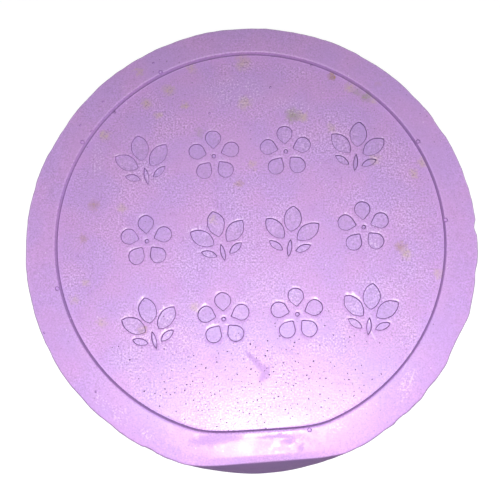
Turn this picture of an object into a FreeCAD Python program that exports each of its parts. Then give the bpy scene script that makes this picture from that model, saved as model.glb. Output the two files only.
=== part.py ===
"""Round puck of cast soap: one solid, in millimetres.

+Z is up, the puck rests on its back, and the origin is the middle of the back. The mould narrows towards
the face, so the side wall leans inwards. The face has a domed rim round a sunk field, and the field
carries a stamped pattern of flowers and leaf sprigs. One side of the rim has been pressed flat.
"""
import FreeCAD, Part
import math
import os

import Sketcher

# Driving dimensions: name, value in millimetres or degrees, meaning.
SIZES = [
    ("cake_height", 25.0, "back to the level top of the rim's dome"),
    ("face_radius", 37.5, "outer edge of the rim"),
    ("wall_draft", 2.0, "lean of the side wall, degrees"),
    ("back_round", 0.8, "round along the back's edge"),
    ("rim_width", 5.45, "step round the field to the rim's outer edge"),
    ("dome_radius", 26.6, "radius of the domed rim's section"),
    ("dome_start", 1.5, "how far inside the step the dome would lie level"),
    ("edge_round", 0.5, "round along the rim's outer edge"),
    ("field_depth", 1.0, "rim top down to the sunk field"),
    ("field_draft", 20.0, "lean of the step round the field, degrees"),
    ("field_shift_x", -0.08, "field's centre from the puck's axis"),
    ("field_shift_y", 0.5, "field's centre from the puck's axis"),
    ("shoulder_round", 0.3, "round on top of the step"),
    ("press_direction", -87.6, "side that was pressed flat, degrees from +X"),
    ("press_inset", 1.67, "how far the rim's outer edge was pushed in"),
    ("press_slope", 9.0, "lean of the pressed face, degrees"),
    ("field_flat", 0.83, "how far the step beside it was pushed in"),
    ("flat_blend", 12.0, "radius that joins the pushed-in step to the round one"),
    ("stamp_depth", 0.4, "depth of the pattern below the field"),
    ("stamp_margin", 3.0, "step round the field to the pattern's corners"),
    ("stamp_turn", 3.6, "turn of the pattern's rows, degrees"),
    ("stamp_shift_x", 0.7, "pattern's centre from the puck's axis"),
    ("stamp_shift_y", 1.6, "pattern's centre from the puck's axis"),
    ("row_share", 0.475, "spacing of the rows, in pattern radii"),
    ("column_share", 0.415, "spacing along a row, in pattern radii"),
    ("motif_share", 0.317, "size of one motif, in pattern radii"),
    ("petal_count", 5, "petals of a flower"),
    ("sprig_lean", 10.0, "lean of a sprig away from the middle, degrees"),
]

# What follows from the driving dimensions, as expressions.
DOME_WIDTH = "(sizes.rim_width + sizes.dome_start)"
RIM_DROP = f"(sizes.dome_radius - sqrt(sizes.dome_radius ^ 2 - {DOME_WIDTH} ^ 2))"
EDGE_HEIGHT = f"(sizes.cake_height - {RIM_DROP})"
BACK_RADIUS = f"(sizes.face_radius + {EDGE_HEIGHT} * tan(sizes.wall_draft))"
FIELD_RADIUS = "(sizes.face_radius - sizes.rim_width)"
FIELD_HEIGHT = "(sizes.cake_height - sizes.field_depth)"
STAMP_RADIUS = f"({FIELD_RADIUS} - sizes.stamp_margin)"
MOTIF_SIZE = f"({STAMP_RADIUS} * sizes.motif_share)"
ROW_SPACING = f"({STAMP_RADIUS} * sizes.row_share)"
COLUMN_SPACING = f"({STAMP_RADIUS} * sizes.column_share)"

# A cut runs this far past the solid.
CLEAR = 2.0

# A flower, in motif sizes from its centre: a petal is an egg with a small and a large round end.
PETAL_INNER_CENTRE, PETAL_INNER_ROUND = 0.178, 0.055
PETAL_OUTER_CENTRE, PETAL_OUTER_ROUND = 0.334, 0.166
HEART_ROUND = 0.06

# A sprig, in motif sizes from its centre: root across, root up, tip across, tip up and width of each leaf.
SPRIG_LEAVES = [
    (0.00, -0.50, 0.00, -0.10, 0.13),  # stem
    (0.00, -0.02, 0.00, 0.50, 0.36),
    (-0.10, -0.14, -0.50, 0.21, 0.32),
    (0.10, -0.14, 0.50, 0.21, 0.32),
    (-0.09, -0.36, -0.40, -0.19, 0.17),
    (0.09, -0.36, 0.40, -0.19, 0.17),
]

# The pattern's rows: name, rows above the middle one, and columns left of the middle of flower and sprig.
# The right half mirrors the left.
STAMP_ROWS = [
    ("top", 1.0, 0.5, 1.5),
    ("middle", 0.0, 1.5, 0.5),
    ("bottom", -1.0, 0.5, 1.5),
]

doc = FreeCAD.newDocument("soap")
sheet = doc.addObject("Spreadsheet::Sheet", "sizes")
for row, (name, value, meaning) in enumerate(SIZES, start=1):
    sheet.set(f"A{row}", name)
    sheet.set(f"B{row}", str(value))
    sheet.setAlias(f"B{row}", name)
    sheet.set(f"C{row}", meaning)
doc.recompute()


def value_of(expression):
    """Return the number that an expression gives now."""
    result = sheet.evalExpression(expression)
    return float(getattr(result, "Value", result))


def origin_plane(body, role):
    """Return the body's origin plane with this role, such as XY_Plane."""
    return next(plane for plane in body.Origin.OriginFeatures if plane.Role == role)


def attach(feature, support, across="0", up="0", out="0", axis=(0, 0, 1), angle="0"):
    """Lay a sketch or a plane on a support, moved and turned in the support's own frame."""
    feature.AttachmentSupport = [(support, "")]
    feature.MapMode = "FlatFace"
    feature.AttachmentOffset = FreeCAD.Placement(
        FreeCAD.Vector(value_of(across), value_of(up), value_of(out)),
        FreeCAD.Rotation(FreeCAD.Vector(*axis), value_of(angle)),
    )
    feature.setExpression(".AttachmentOffset.Base.x", across)
    feature.setExpression(".AttachmentOffset.Base.y", up)
    feature.setExpression(".AttachmentOffset.Base.z", out)
    feature.setExpression(".AttachmentOffset.Rotation.Angle", angle)


def bind(sketch, kind, *references, to):
    """Add a dimension to a sketch and tie it to an expression."""
    index = sketch.addConstraint(Sketcher.Constraint(kind, *references, value_of(to)))
    sketch.setExpression(f"Constraints[{index}]", to)


def arc_middle(start, end, radius, major):
    """Return the middle of a counter-clockwise arc from start to end."""
    chord = end - start
    outward = FreeCAD.Vector(chord.y, -chord.x, 0).normalize()
    centre_distance = math.sqrt(max(radius**2 - chord.Length**2 / 4, 0))
    return (start + end) / 2 + outward * (radius + (centre_distance if major else -centre_distance))


def draw_outline(sketch, corners, arcs=None, major=()):
    """Draw a closed outline, counter-clockwise.

    corners are pairs of expressions, across and up from the sketch's origin. arcs gives the radius of
    each side that is an arc, by the number of the corner that it starts from. major numbers the arcs
    that are over half a circle.
    """
    arcs = arcs or {}
    points = [FreeCAD.Vector(value_of(across), value_of(up), 0) for across, up in corners]
    first = sketch.GeometryCount
    for number, start in enumerate(points):
        end = points[(number + 1) % len(points)]
        if number in arcs:
            middle = arc_middle(start, end, value_of(arcs[number]), number in major)
            sketch.addGeometry(Part.Arc(start, middle, end))
        else:
            sketch.addGeometry(Part.LineSegment(start, end))
    for number, (across, up) in enumerate(corners):
        following = (number + 1) % len(corners)
        sketch.addConstraint(Sketcher.Constraint("Coincident", first + number, 2, first + following, 1))
        bind(sketch, "DistanceX", -1, 1, first + number, 1, to=across)
        bind(sketch, "DistanceY", -1, 1, first + number, 1, to=up)
        if number in arcs:
            bind(sketch, "Radius", first + number, to=arcs[number])


def add_sketch(body, name, support, **placing):
    """Add an empty sketch to the body, laid on a support."""
    sketch = body.newObject("Sketcher::SketchObject", name)
    attach(sketch, support, **placing)
    doc.recompute()
    return sketch


def add_pocket(body, name, sketch, depth, **settings):
    """Cut a sketch into the body, and stop if nothing is cut."""
    before = body.Shape.Volume
    pocket = body.newObject("PartDesign::Pocket", name)
    pocket.Profile = sketch
    for setting, value in settings.items():
        setattr(pocket, setting, value)
    pocket.setExpression("Length", depth)
    doc.recompute()
    check_cut(name, body, before)
    return pocket


def check_cut(name, body, before):
    """Stop if the body's latest feature took nothing away."""
    if body.Shape.Volume >= before - 1e-3:
        raise RuntimeError(f"{name} cuts nothing")


def add_fillet(body, name, radius, chosen):
    """Round the edges of the body that chosen picks by their points."""
    base = body.Tip
    names = [
        f"Edge{number}"
        for number, edge in enumerate(base.Shape.Edges, start=1)
        if all(chosen(point) for point in edge.discretize(9))
    ]
    if not names:
        raise RuntimeError(f"{name} finds no edge")
    fillet = body.newObject("PartDesign::Fillet", name)
    fillet.Base = (base, names)
    fillet.setExpression("Radius", radius)
    doc.recompute()
    if fillet.Shape.isNull():
        raise RuntimeError(f"{name} can't be rounded")
    return fillet


def revolve_outer_form(body):
    """Turn the puck's section: flat back, leaning side wall, domed rim."""
    sketch = add_sketch(body, "section", origin_plane(body, "XZ_Plane"))
    corners = [
        ("0", "0"),
        (BACK_RADIUS, "0"),
        ("sizes.face_radius", EDGE_HEIGHT),
        (f"(sizes.face_radius - {DOME_WIDTH})", "sizes.cake_height"),
        ("0", "sizes.cake_height"),
    ]
    draw_outline(sketch, corners, arcs={2: "sizes.dome_radius"})
    revolution = body.newObject("PartDesign::Revolution", "outer_form")
    revolution.Profile = sketch
    revolution.ReferenceAxis = (sketch, ["V_Axis"])
    doc.recompute()
    return revolution


def round_outer_edges(body):
    """Round the back's edge and the rim's outer edge."""
    add_fillet(body, "back_edge", "sizes.back_round", lambda point: abs(point.z) < 1e-6)
    edge_radius, edge_height = value_of("sizes.face_radius"), value_of(EDGE_HEIGHT)
    add_fillet(
        body,
        "rim_edge",
        "sizes.edge_round",
        lambda point: abs(math.hypot(point.x, point.y) - edge_radius) < 1e-4
        and abs(point.z - edge_height) < 1e-4,
    )


def press_one_side(body):
    """Cut the pressed face: a plane that leans in over the side wall, square to the press direction."""
    top = f"(sizes.cake_height + {CLEAR})"
    far = f"({BACK_RADIUS} + {CLEAR})"
    inner = f"(sizes.face_radius - sizes.press_inset - ({RIM_DROP} + {CLEAR}) * tan(sizes.press_slope))"
    low = f"({top} - ({far} - {inner}) / tan(sizes.press_slope))"
    sketch = add_sketch(
        body, "press_section", origin_plane(body, "XZ_Plane"), axis=(0, 1, 0), angle="sizes.press_direction"
    )
    draw_outline(sketch, [(inner, top), (far, low), (far, top)])
    add_pocket(body, "pressed_side", sketch, f"2 * {BACK_RADIUS}", Midplane=True)


def sink_field(body):
    """Sink the field, whose step leans outwards and is pushed in beside the pressed side."""
    sketch = add_sketch(
        body,
        "field_outline",
        origin_plane(body, "XY_Plane"),
        across="sizes.field_shift_x",
        up="sizes.field_shift_y",
        out=FIELD_HEIGHT,
        angle="sizes.press_direction",
    )
    flat = f"({FIELD_RADIUS} - sizes.field_flat)"
    blend_reach = f"({FIELD_RADIUS} - sizes.flat_blend)"
    blend_across = f"({flat} - sizes.flat_blend)"
    blend_up = f"sqrt({blend_reach} ^ 2 - {blend_across} ^ 2)"
    ratio = f"{FIELD_RADIUS} / {blend_reach}"
    corners = [
        (flat, f"-{blend_up}"),
        (flat, blend_up),
        (f"({blend_across} * {ratio})", f"({blend_up} * {ratio})"),
        (f"({blend_across} * {ratio})", f"(-{blend_up} * {ratio})"),
    ]
    arcs = {1: "sizes.flat_blend", 2: FIELD_RADIUS, 3: "sizes.flat_blend"}
    draw_outline(sketch, corners, arcs, major=[2])
    pocket = add_pocket(body, "field", sketch, f"sizes.field_depth + {CLEAR}", Reversed=True)
    pocket.setExpression("TaperAngle", "sizes.field_draft")
    doc.recompute()


def round_shoulder(body):
    """Round the top of the step round the field."""
    centre_x, centre_y = value_of("sizes.field_shift_x"), value_of("sizes.field_shift_y")
    lowest = value_of(FIELD_HEIGHT) + value_of("sizes.field_depth") / 2
    nearest = value_of(FIELD_RADIUS) - value_of("sizes.field_flat")
    furthest = value_of(FIELD_RADIUS) + value_of("sizes.field_depth")
    add_fillet(
        body,
        "shoulder",
        "sizes.shoulder_round",
        lambda point: point.z > lowest
        and nearest < math.hypot(point.x - centre_x, point.y - centre_y) < furthest,
    )


def in_motifs(share):
    """Return a length given in motif sizes as an expression."""
    return f"({share:.6f} * {MOTIF_SIZE})"


def draw_petal(sketch):
    """Draw the upper petal of a flower: two round ends joined by the lines that touch both."""
    sine = (PETAL_OUTER_ROUND - PETAL_INNER_ROUND) / (PETAL_OUTER_CENTRE - PETAL_INNER_CENTRE)
    cosine = math.sqrt(1 - sine**2)
    inner_x, inner_y = PETAL_INNER_ROUND * cosine, PETAL_INNER_CENTRE - PETAL_INNER_ROUND * sine
    outer_x, outer_y = PETAL_OUTER_ROUND * cosine, PETAL_OUTER_CENTRE - PETAL_OUTER_ROUND * sine
    points = [(inner_x, inner_y), (outer_x, outer_y), (-outer_x, outer_y), (-inner_x, inner_y)]
    corners = [(in_motifs(across), in_motifs(up)) for across, up in points]
    arcs = {1: in_motifs(PETAL_OUTER_ROUND), 3: in_motifs(PETAL_INNER_ROUND)}
    draw_outline(sketch, corners, arcs, major=[1])


def draw_leaf(sketch, root_x, root_y, tip_x, tip_y, width):
    """Draw one leaf: two equal arcs from root to tip."""
    half_length = math.hypot(tip_x - root_x, tip_y - root_y) / 2
    radius = in_motifs((half_length**2 + (width / 2) ** 2) / width)
    corners = [(in_motifs(root_x), in_motifs(root_y)), (in_motifs(tip_x), in_motifs(tip_y))]
    draw_outline(sketch, corners, arcs={0: radius, 1: radius})


def draw_heart(sketch, across, up):
    """Draw the round heart of a flower."""
    centre = FreeCAD.Vector(value_of(across), value_of(up), 0)
    radius = in_motifs(HEART_ROUND)
    circle = sketch.addGeometry(Part.Circle(centre, FreeCAD.Vector(0, 0, 1), value_of(radius)))
    bind(sketch, "DistanceX", -1, 1, circle, 3, to=across)
    bind(sketch, "DistanceY", -1, 1, circle, 3, to=up)
    bind(sketch, "Radius", circle, to=radius)


def stamp_pattern(body):
    """Stamp the rows of flowers and sprigs into the field: the left half, then its mirror image."""
    stamp_plane = body.newObject("PartDesign::Plane", "stamp_plane")
    attach(
        stamp_plane,
        origin_plane(body, "XY_Plane"),
        across="sizes.stamp_shift_x",
        up="sizes.stamp_shift_y",
        out=FIELD_HEIGHT,
        angle="sizes.stamp_turn",
    )
    mirror_plane = body.newObject("PartDesign::Plane", "mirror_plane")
    attach(mirror_plane, stamp_plane, axis=(0, 1, 0), angle="90")
    doc.recompute()

    hearts = add_sketch(body, "heart_outlines", stamp_plane)
    halves = []
    for row, rows_up, flower_column, sprig_column in STAMP_ROWS:
        up = f"({rows_up} * {ROW_SPACING})"
        flower = {"across": f"(-{flower_column} * {COLUMN_SPACING})", "up": up}
        sprig = {"across": f"(-{sprig_column} * {COLUMN_SPACING})", "up": up, "angle": "sizes.sprig_lean"}

        petal_sketch = add_sketch(body, f"{row}_petal_outline", stamp_plane, **flower)
        draw_petal(petal_sketch)
        petal = add_pocket(body, f"{row}_petal", petal_sketch, "sizes.stamp_depth")
        before = body.Shape.Volume
        petals = body.newObject("PartDesign::MultiTransform", f"{row}_petals")
        petals.Originals = [petal]
        ring = body.newObject("PartDesign::PolarPattern", f"{row}_petal_ring")
        ring.Axis = (petal_sketch, ["N_Axis"])
        ring.Angle = 360
        ring.setExpression("Occurrences", "sizes.petal_count")
        pair = body.newObject("PartDesign::Mirrored", f"{row}_flower_pair")
        pair.MirrorPlane = (mirror_plane, [""])
        petals.Transformations = [ring, pair]
        body.Tip = petals
        doc.recompute()
        check_cut(petals.Name, body, before)

        draw_heart(hearts, flower["across"], up)

        sprig_sketch = add_sketch(body, f"{row}_sprig_outline", stamp_plane, **sprig)
        for leaf in SPRIG_LEAVES:
            draw_leaf(sprig_sketch, *leaf)
        halves.append(add_pocket(body, f"{row}_sprig", sprig_sketch, "sizes.stamp_depth"))

    halves.append(add_pocket(body, "hearts", hearts, "sizes.stamp_depth"))

    before = body.Shape.Volume
    mirrored = body.newObject("PartDesign::Mirrored", "right_half")
    mirrored.Originals = halves
    mirrored.MirrorPlane = (mirror_plane, [""])
    body.Tip = mirrored
    doc.recompute()
    check_cut(mirrored.Name, body, before)


def build_puck():
    """Build the puck's body."""
    body = doc.addObject("PartDesign::Body", "soap_puck")
    body.Label = "soap_puck"
    body.Placement = FreeCAD.Placement()
    revolve_outer_form(body)
    round_outer_edges(body)
    press_one_side(body)
    sink_field(body)
    round_shoulder(body)
    stamp_pattern(body)
    return body


puck = build_puck()
doc.recompute()

for item in doc.Objects:
    if {"Invalid", "Error"} & set(item.State):
        raise RuntimeError(f"{item.Name} failed: {item.State}")
if puck.Shape.isNull() or not puck.Shape.isValid():
    raise RuntimeError("soap_puck has no valid shape")

os.makedirs("parts", exist_ok=True)
puck.Shape.exportStep(f"parts/{puck.Label}.step")
print(f"{puck.Label}: {len(puck.Shape.Solids)} solid, {puck.Shape.Volume / 1000:.2f} cm3")
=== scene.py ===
"""Looks of a round puck of cast lilac soap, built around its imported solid.

The puck is lathed from the same sizes as the solid, its side is pressed flat, the pattern and the burst
bubbles are cut into it, and the finish is one cast-soap material. Everything is in metres.
"""

import logging
import random
from dataclasses import dataclass
from enum import Enum
from functools import partial, reduce
from math import acos, asin, atan2, cos, degrees, dist, hypot, pi, radians, sin, sqrt, tan, tau
from typing import Callable

import bmesh
import bpy
from mathutils import Matrix, Vector, noise


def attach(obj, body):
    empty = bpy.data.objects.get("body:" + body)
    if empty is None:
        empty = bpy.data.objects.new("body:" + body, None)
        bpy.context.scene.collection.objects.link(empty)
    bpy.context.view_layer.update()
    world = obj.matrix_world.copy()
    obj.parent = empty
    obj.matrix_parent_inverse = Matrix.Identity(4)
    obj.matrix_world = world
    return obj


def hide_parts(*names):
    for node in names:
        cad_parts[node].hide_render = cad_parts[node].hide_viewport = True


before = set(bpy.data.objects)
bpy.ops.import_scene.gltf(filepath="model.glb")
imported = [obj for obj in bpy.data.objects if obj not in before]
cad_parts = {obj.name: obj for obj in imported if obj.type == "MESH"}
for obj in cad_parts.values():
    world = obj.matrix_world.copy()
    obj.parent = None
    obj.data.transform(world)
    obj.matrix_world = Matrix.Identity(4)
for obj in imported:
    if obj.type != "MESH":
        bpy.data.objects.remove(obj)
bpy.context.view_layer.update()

MM = 0.001
# Places closer than this, in metres, are the same.
SAME = 1e-6
LOG = logging.getLogger("soap")

Pair = tuple[float, float]
Triple = tuple[float, float, float]
Piece = bpy.types.Object
Socket = bpy.types.NodeSocket
AddNode = Callable[..., Socket]


# ---------------- hand tools


def mm(*lengths: float) -> Vector:
    """Return lengths in millimetres as a vector in metres."""
    return Vector(lengths) * MM


def clamped(value: float, least: float = 0.0, most: float = 1.0) -> float:
    """Return a value, or the limit that it passes."""
    return min(max(value, least), most)


def deselect_all() -> None:
    """Leave edit mode and deselect every object."""
    if bpy.context.object and bpy.context.object.mode != "OBJECT":
        bpy.ops.object.mode_set(mode="OBJECT")
    bpy.ops.object.select_all(action="DESELECT")


def activate(*pieces: Piece) -> None:
    """Select these objects alone, the first one active."""
    deselect_all()
    for piece in pieces:
        piece.select_set(True)
    bpy.context.view_layer.objects.active = pieces[0]


def start_chain(name: str, at: Vector) -> Piece:
    """Start a new mesh as one selected vertex, in edit mode.

    Args:
        name: name of the object.
        at: where the vertex goes, in metres.

    Returns:
        The object, with its origin at the world's.
    """
    deselect_all()
    bpy.ops.mesh.primitive_circle_add(vertices=3, radius=MM)
    piece = bpy.context.object
    piece.name = piece.data.name = name
    bpy.ops.object.mode_set(mode="EDIT")
    bpy.ops.mesh.merge(type="CENTER")
    bpy.ops.transform.translate(value=at)
    return piece


def extend_chain(step: Vector) -> None:
    """Extrude the selected vertex by a step, in metres."""
    bpy.ops.mesh.extrude_vertices_move(TRANSFORM_OT_translate={"value": step})


def sweep_chain(centre: Vector, angle: float, steps: int) -> None:
    """Sweep the selected vertex along an arc in the XY plane, counter-clockwise for a positive angle."""
    bpy.ops.mesh.spin(steps=steps, angle=-angle, center=centre, axis=(0, 0, 1), use_auto_merge=False)


def close_chain(loop: Piece) -> Piece:
    """Merge the chain's two ends, leave edit mode and return the loop."""
    bpy.ops.mesh.select_all(action="SELECT")
    bpy.ops.mesh.remove_doubles(threshold=SAME)
    bpy.ops.object.mode_set(mode="OBJECT")
    return loop


def select_where(test: Callable[[Vector], bool]) -> None:
    """Select the vertices, and what lies between them, that pass a test.

    Args:
        test: takes a vertex's place in metres.
    """
    bpy.ops.mesh.select_mode(type="VERT")
    edited = bmesh.from_edit_mesh(bpy.context.edit_object.data)
    for vertex in edited.verts:
        vertex.select = test(vertex.co)
    edited.select_flush_mode()
    bmesh.update_edit_mesh(bpy.context.edit_object.data)


def close_solid() -> None:
    """Turn the edited solid's faces outward and leave edit mode."""
    bpy.ops.mesh.select_all(action="SELECT")
    bpy.ops.mesh.normals_make_consistent(inside=False)
    bpy.ops.object.mode_set(mode="OBJECT")


def copy_placed(pattern: Piece, placing: Matrix) -> Piece:
    """Copy an object with its own mesh.

    Args:
        pattern: the object.
        placing: where the copy goes; the matrix goes into its mesh.

    Returns:
        The copy.
    """
    activate(pattern)
    bpy.ops.object.duplicate(linked=False)
    copy = bpy.context.object
    copy.matrix_world = placing
    bpy.ops.object.transform_apply(location=True, rotation=True, scale=True)
    return copy


def join(pieces: list[Piece], name: str) -> Piece:
    """Join objects into the first one and name it."""
    activate(*pieces)
    bpy.ops.object.join()
    joined = bpy.context.object
    joined.name = joined.data.name = name
    return joined


def discard(piece: Piece) -> None:
    """Delete an object that was only a tool."""
    activate(piece)
    bpy.ops.object.delete()


def cut_away(piece: Piece, cutter: Piece) -> None:
    """Cut one object's shape out of another.

    Args:
        piece: what is cut.
        cutter: the shape, which is deleted.
    """
    activate(piece)
    cut = piece.modifiers.new("cut", "BOOLEAN")
    cut.operation = "DIFFERENCE"
    cut.solver = "EXACT"
    cut.object = cutter
    bpy.ops.object.modifier_apply(modifier=cut.name)
    if not piece.data.polygons:
        raise RuntimeError(f"cutting {cutter.name} out of {piece.name} left nothing")
    discard(cutter)


# ---------------- the puck's shape


@dataclass(frozen=True)
class SoapSection:
    """Half section of the puck in millimetres, from the middle of the back to the edge of the field."""

    height: float = 25.0
    face_radius: float = 37.5
    wall_draft: float = radians(2.0)
    back_round: float = 0.8
    back_dish: float = 0.2
    # The dish from its flat to its rim, as distance from the back's flat edge and share of its depth.
    dish_steps: tuple[Pair, ...] = ((4.5, 1.0), (2.5, 0.8), (1.0, 0.25))
    dome_radius: float = 26.6
    dome_start: float = 1.5
    edge_round: float = 0.5
    field_radius: float = 32.05
    field_depth: float = 1.0
    field_draft: float = radians(20.0)
    shoulder_round: float = 0.4
    foot_round: float = 0.1
    wall_rings: int = 18
    dome_rings: int = 20
    edge_rings: int = 6
    shoulder_rings: int = 10
    foot_rings: int = 3

    @property
    def dome_centre(self) -> Vector:
        """Centre of the domed rim's arc, as radius and height."""
        return Vector((self.field_radius - self.dome_start, self.height - self.dome_radius))

    @property
    def edge_height(self) -> float:
        """Height where the dome would meet the side wall."""
        return self.dome_height(self.face_radius)

    @property
    def field_height(self) -> float:
        """Height of the sunk field."""
        return self.height - self.field_depth

    @property
    def back_radius(self) -> float:
        """Radius where the side wall would meet the back."""
        return self.face_radius + self.edge_height * tan(self.wall_draft)

    def dome_height(self, radius: float) -> float:
        """Height of the dome at a radius."""
        centre = self.dome_centre
        return centre.y + sqrt(self.dome_radius**2 - (radius - centre.x) ** 2)

    @staticmethod
    def arc(centre: Vector, radius: float, start: float, end: float, steps: int) -> list[Vector]:
        """Points of an arc from a start to an end angle, both ends included."""
        angles = [start + (end - start) * step / steps for step in range(steps + 1)]
        return [centre + Vector((cos(angle), sin(angle))) * radius for angle in angles]

    def round_against_dome(self, start: Vector, along: Vector, inward: Vector, radius: float) -> Vector:
        """Centre of a round that touches the dome from below and a straight line.

        Args:
            start: a point of the line.
            along: the line's direction, of length one.
            inward: the direction square to it, into the soap.
            radius: the round's radius.
        """
        foot = start + inward * radius
        origin = foot - self.dome_centre
        half = origin.dot(along)
        reach = self.dome_radius - radius
        return foot + along * (-half + sqrt(half**2 - origin.length_squared + reach**2))

    def points(self) -> list[Vector]:
        """The section's points, as radius and height, from the back round to the field."""
        draft = self.wall_draft
        flat_edge = self.back_radius - self.back_round * (1 + tan(draft))
        dish = [Vector((flat_edge - inset, self.back_dish * share)) for inset, share in self.dish_steps]
        back_centre = Vector((flat_edge, self.back_round))
        back = self.arc(back_centre, self.back_round, -pi / 2, draft, self.edge_rings)

        edge = self.round_against_dome(
            Vector((self.face_radius, self.edge_height)),
            Vector((-sin(draft), cos(draft))),
            Vector((-cos(draft), -sin(draft))),
            self.edge_round,
        )
        edge_end = atan2(edge.y - self.dome_centre.y, edge.x - self.dome_centre.x)
        rim_edge = self.arc(edge, self.edge_round, draft, edge_end, self.edge_rings)
        wall = [back[-1].lerp(rim_edge[0], ring / self.wall_rings) for ring in range(1, self.wall_rings)]

        lean = self.field_draft
        foot = Vector((self.field_radius, self.field_height))
        shoulder = self.round_against_dome(
            foot,
            Vector((sin(lean), cos(lean))),
            Vector((cos(lean), -sin(lean))),
            self.shoulder_round,
        )
        shoulder_start = atan2(shoulder.y - self.dome_centre.y, shoulder.x - self.dome_centre.x)
        step_top = self.arc(shoulder, self.shoulder_round, shoulder_start, pi - lean, self.shoulder_rings)
        dome = self.arc(self.dome_centre, self.dome_radius, edge_end, shoulder_start, self.dome_rings)[1:-1]

        foot_centre = Vector((
            self.field_radius - self.foot_round * (1 - sin(lean)) / cos(lean),
            self.field_height + self.foot_round,
        ))
        step_foot = self.arc(foot_centre, self.foot_round, -lean, -pi / 2, self.foot_rings)
        return dish + back + wall + rim_edge + dome + step_top + step_foot


SECTION = SoapSection()


@dataclass(frozen=True)
class PressedSide:
    """The side of the rim that was pushed in, and the field's offset in its mould, in millimetres."""

    step_direction: float = radians(-86.6)
    edge_direction: float = radians(-85.6)
    edge_inset: float = 1.67
    step_inset: float = 1.1
    slope: float = radians(9.0)
    blend: float = 1.0
    fade_radius: float = 24.0
    crown_slope: float = radians(3.2)
    turn_down: float = 0.78
    turn_down_slope: float = radians(36.0)
    # Where the field's centre lies, and how much further along X the step's foot lies.
    field_shift: Pair = (-0.15, 0.53)
    foot_shift: float = 0.07

    @staticmethod
    def soft_limit(value: float, limit: float, blend: float) -> float:
        """The lower of a value and a limit, with a smooth turn between them."""
        near = max(blend - abs(value - limit), 0.0) / blend
        return min(value, limit) - near**2 * blend / 4

    @staticmethod
    def across(radius: float) -> float:
        """How far across the rim a radius lies, from 0 at the step to 1 at the outer edge."""
        share = (radius - SECTION.field_radius) / (SECTION.face_radius - SECTION.field_radius)
        return clamped(share)

    def inset_at(self, radius: float, height: float) -> float:
        """How far a point at this radius and height was pushed in where the push is deepest."""
        if height < SECTION.edge_height - SECTION.edge_round:
            lean = tan(self.slope) - tan(SECTION.wall_draft)
            return max(self.edge_inset - (SECTION.edge_height - height) * lean, 0.0)
        if radius >= SECTION.field_radius:
            return self.step_inset + (self.edge_inset - self.step_inset) * self.across(radius)
        beyond = max(radius - self.fade_radius, 0.0)
        return self.step_inset * beyond / (SECTION.field_radius - self.fade_radius)

    def lift_at(self, radius: float) -> float:
        """How far the pressed rim stands above the dome: flatter at first, then turned down at its edge."""
        across = self.across(radius)
        width = SECTION.face_radius - SECTION.field_radius - self.edge_inset + self.step_inset
        crown = tan(self.crown_slope) * across
        steeper = tan(self.turn_down_slope) - tan(self.crown_slope)
        turned = steeper * max(across - self.turn_down, 0.0)
        level = SECTION.dome_height(SECTION.field_radius) - width * (crown + turned)
        return level - SECTION.dome_height(clamped(radius, SECTION.field_radius, SECTION.face_radius))

    def moved(self, place: Vector) -> Vector:
        """Press one point of the lathed puck.

        Args:
            place: the point, in metres.

        Returns:
            Where it ends up, in metres.
        """
        point = place / MM
        radius = hypot(point.x, point.y)
        if radius < SAME:
            return place
        turn = self.edge_direction - self.step_direction
        direction = self.step_direction + turn * self.across(radius)
        outward = Vector((cos(direction), sin(direction), 0))
        beyond = point.x * outward.x + point.y * outward.y
        inset = self.inset_at(radius, point.z)
        pushed = beyond - self.soft_limit(beyond, radius - inset, self.blend) if inset > 0 else 0.0
        moved = point - outward * pushed
        if point.z > SECTION.edge_height - SECTION.edge_round:
            if pushed > 0:
                moved.z += min(pushed / inset, 1.0) * self.lift_at(radius)
            moved += Vector((*self.field_shift, 0)) * (1 - self.across(radius))
            drop = (SECTION.height - point.z) / SECTION.field_depth
            moved.x += self.foot_shift * clamped(drop) * (1 - self.across(radius))
        return moved * MM


class Motif(Enum):
    """What the pattern repeats."""

    FLOWER = "flower"
    SPRIG = "sprig"


@dataclass(frozen=True)
class Egg:
    """A petal's outline along +Y: two circles in line and their two tangents, in millimetres."""

    inner_centre: float
    inner_round: float
    outer_centre: float
    outer_round: float
    inner_steps: int = 8
    outer_steps: int = 30

    def draw(self, inset: float, height: float) -> Piece:
        """Draw the outline as a closed loop of edges, set in evenly, at a height."""
        inner_round, outer_round = self.inner_round - inset, self.outer_round - inset
        slant = asin((outer_round - inner_round) / (self.outer_centre - self.inner_centre))
        right = Vector((cos(slant), -sin(slant), 0))
        left = Vector((-right.x, right.y, 0))
        inner, outer = Vector((0, self.inner_centre, height)), Vector((0, self.outer_centre, height))
        loop = start_chain("petal", (inner + right * inner_round) * MM)
        extend_chain((outer + right * outer_round - inner - right * inner_round) * MM)
        sweep_chain(outer * MM, pi + 2 * slant, self.outer_steps)
        extend_chain((inner + left * inner_round - outer - left * outer_round) * MM)
        sweep_chain(inner * MM, pi - 2 * slant, self.inner_steps)
        return close_chain(loop)


@dataclass(frozen=True)
class Lens:
    """A leaf's outline: two equal arcs from its root to its tip, in millimetres."""

    root: Vector
    tip: Vector
    width: float
    step: float = 0.18

    def draw(self, inset: float, height: float) -> Piece:
        """Draw the outline as a closed loop of edges, set in evenly, at a height."""
        half_length = (self.tip - self.root).length / 2
        full_radius = (half_length**2 + (self.width / 2) ** 2) / self.width
        steps = round(2 * asin(half_length / full_radius) * full_radius / self.step)
        offset = full_radius - self.width / 2
        radius = full_radius - inset
        half_angle = acos(offset / radius)
        along = (self.tip - self.root).normalized()
        across = Vector((-along.y, along.x)) * offset
        middle = (self.root + self.tip) / 2
        start = middle - along * radius * sin(half_angle)
        loop = start_chain("leaf", mm(*start, height))
        sweep_chain(mm(*(middle + across), height), 2 * half_angle, steps)
        sweep_chain(mm(*(middle - across), height), 2 * half_angle, steps)
        return close_chain(loop)


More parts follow.
